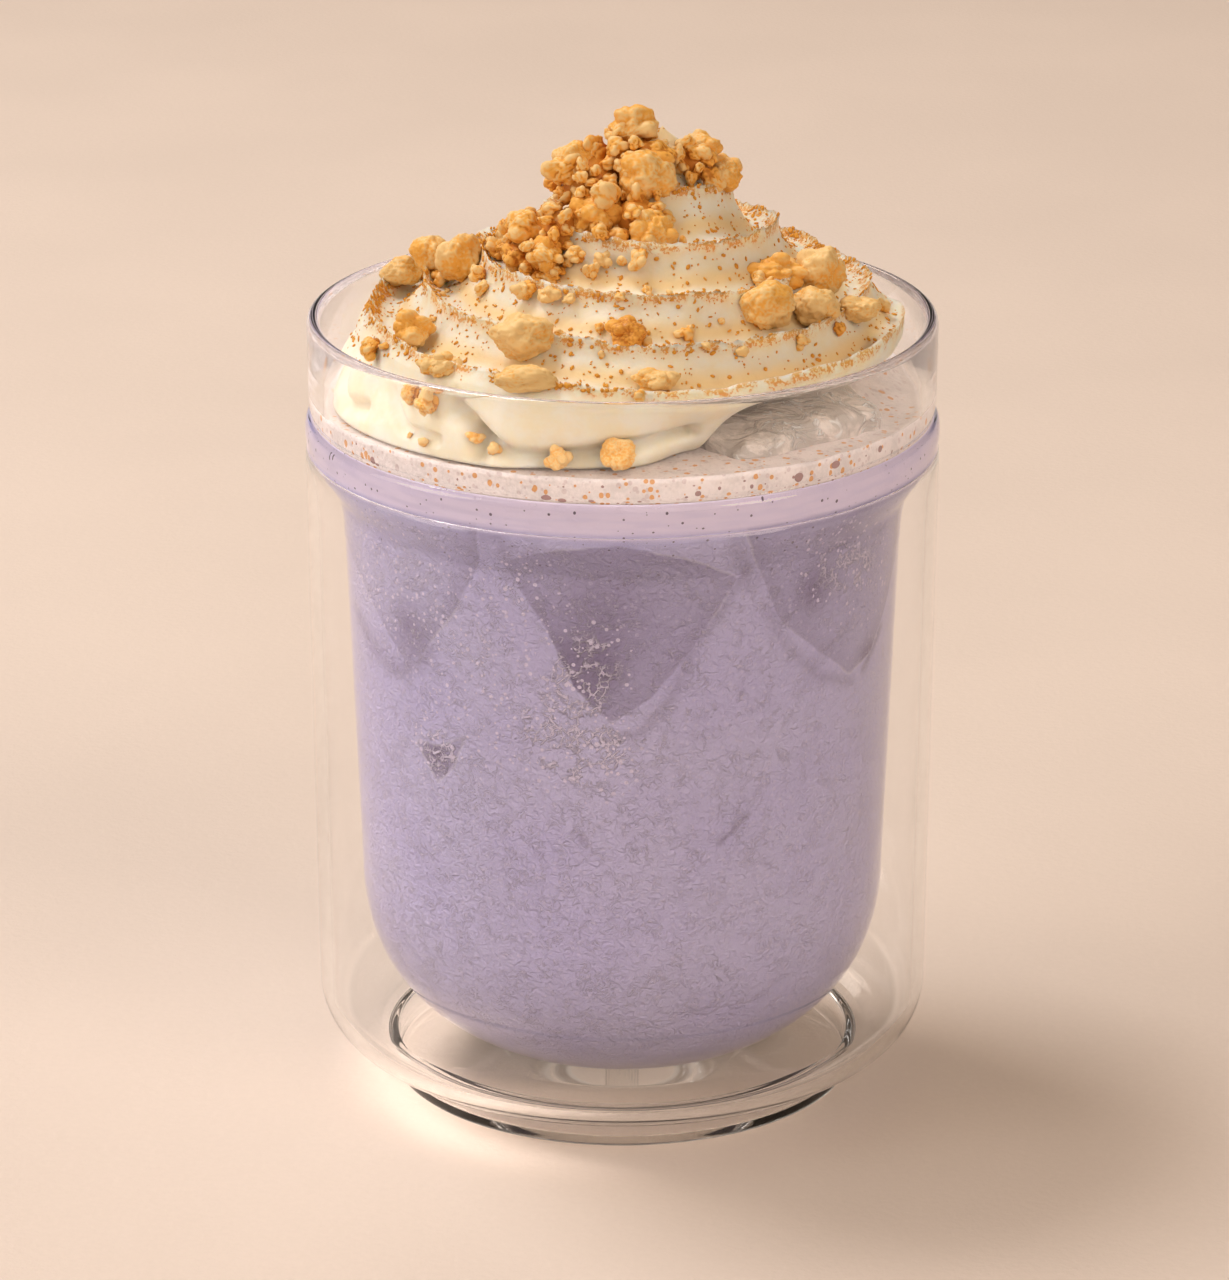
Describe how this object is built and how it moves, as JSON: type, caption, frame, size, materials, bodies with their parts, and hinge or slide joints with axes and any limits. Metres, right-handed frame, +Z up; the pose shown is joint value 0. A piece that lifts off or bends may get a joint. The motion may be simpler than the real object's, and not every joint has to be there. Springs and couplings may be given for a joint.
{
  "type": "glass of horchata",
  "caption": "Purple iced horchata with foam, whipped cream swirl and candied peanut crumble in a clear double-walled glass.",
  "frame": {"origin": "on the table under the middle of the glass's foot", "axes": "+Z up, -Y towards the viewer, +X to the viewer's right"},
  "size_m": [0.0882, 0.0882, 0.141],
  "materials": {
    "clear_glass": "clear polished borosilicate glass",
    "clear_silicone": "matt clear silicone",
    "horchata": "opaque milky purple drink",
    "foam": "fine pinkish foam",
    "ice": "wet ice",
    "whipped_cream": "soft satin cream",
    "candied_peanut": "golden sugar-coated nut"
  },
  "bodies": {
    "root": {"glass": "clear_glass", "vent_plug": "clear_silicone", "horchata": "horchata", "foam": "foam", "ice_cube": "ice", "whipped_cream": "whipped_cream", "crumble_heap": "candied_peanut", "nugget_01": "candied_peanut", "nugget_02": "candied_peanut", "nugget_03": "candied_peanut", "nugget_04": "candied_peanut", "nugget_05": "candied_peanut", "nugget_06": "candied_peanut", "nugget_07": "candied_peanut", "nugget_08": "candied_peanut", "nugget_09": "candied_peanut", "nugget_10": "candied_peanut", "nugget_11": "candied_peanut", "nugget_12": "candied_peanut", "nugget_13": "candied_peanut", "nugget_14": "candied_peanut", "nugget_15": "candied_peanut", "nugget_16": "candied_peanut", "nugget_17": "candied_peanut", "nugget_18": "candied_peanut", "nugget_19": "candied_peanut", "nugget_20": "candied_peanut", "nugget_21": "candied_peanut", "nugget_22": "candied_peanut", "nugget_23": "candied_peanut", "nugget_24": "candied_peanut"}
  },
  "joints": []
}
